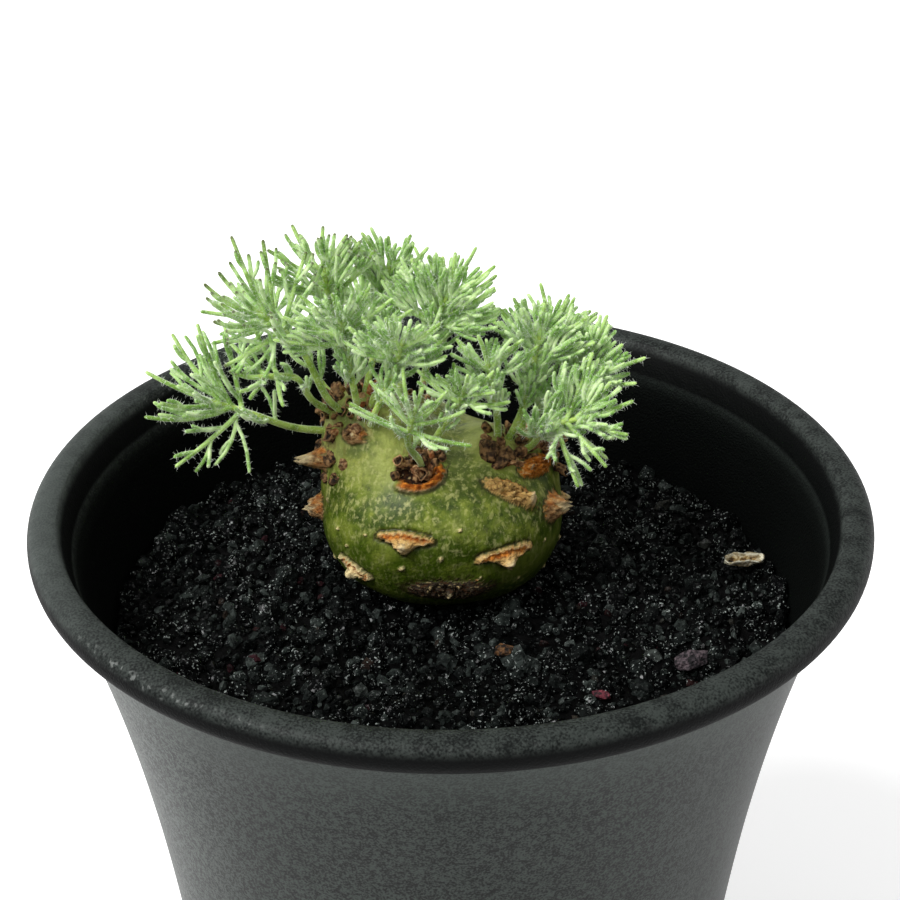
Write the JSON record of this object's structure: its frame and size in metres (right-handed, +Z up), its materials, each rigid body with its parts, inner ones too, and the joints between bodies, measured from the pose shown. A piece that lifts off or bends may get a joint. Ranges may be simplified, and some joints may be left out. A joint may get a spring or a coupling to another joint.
{
  "type": "potted monsonia peniculinum",
  "caption": "Small caudiciform succulent with a swollen, scarred green stem and finely divided brush-like leaves, in a round flared nursery pot filled with dark soil.",
  "frame": {"origin": "middle of the pot's foot, on the surface that it stands on", "axes": "+Z up, -Y towards the picture's camera, +X to the right"},
  "size_m": [0.09, 0.09, 0.1062],
  "materials": {
    "pot_plastic": "matt moulded plastic, dark grey, finely grained wall, smoother rim",
    "soil": "loose black granular potting grit, slightly glossy facets",
    "caudex_skin": "waxy olive-green skin with pale flecks and orange-brown leaf scars",
    "leaf": "grey-green, covered with fine white hairs",
    "grain_purple": "matt purple-brown lump",
    "grain_brown": "matt brown lump",
    "grain_red": "matt dark red chip",
    "bark": "dry tan bark"
  },
  "bodies": {
    "root": {"pot": "pot_plastic", "soil": "soil", "caudex": "caudex_skin", "leaf_left_low": "leaf", "leaf_left_up": "leaf", "leaf_left_mid": "leaf", "leaf_crown_left": "leaf", "leaf_top_left": "leaf", "leaf_top": "leaf", "leaf_top_right": "leaf", "leaf_crown_mid": "leaf", "leaf_front": "leaf", "leaf_front_up": "leaf", "leaf_middle": "leaf", "leaf_right_up": "leaf", "leaf_right_low": "leaf", "leaf_right": "leaf", "leaf_back_right": "leaf", "leaf_back": "leaf", "leaf_back_left": "leaf", "leaf_back_far": "leaf", "lump_purple": "grain_purple", "lump_brown": "grain_brown", "chip_red": "grain_red", "bark_flake": "bark"}
  },
  "joints": []
}
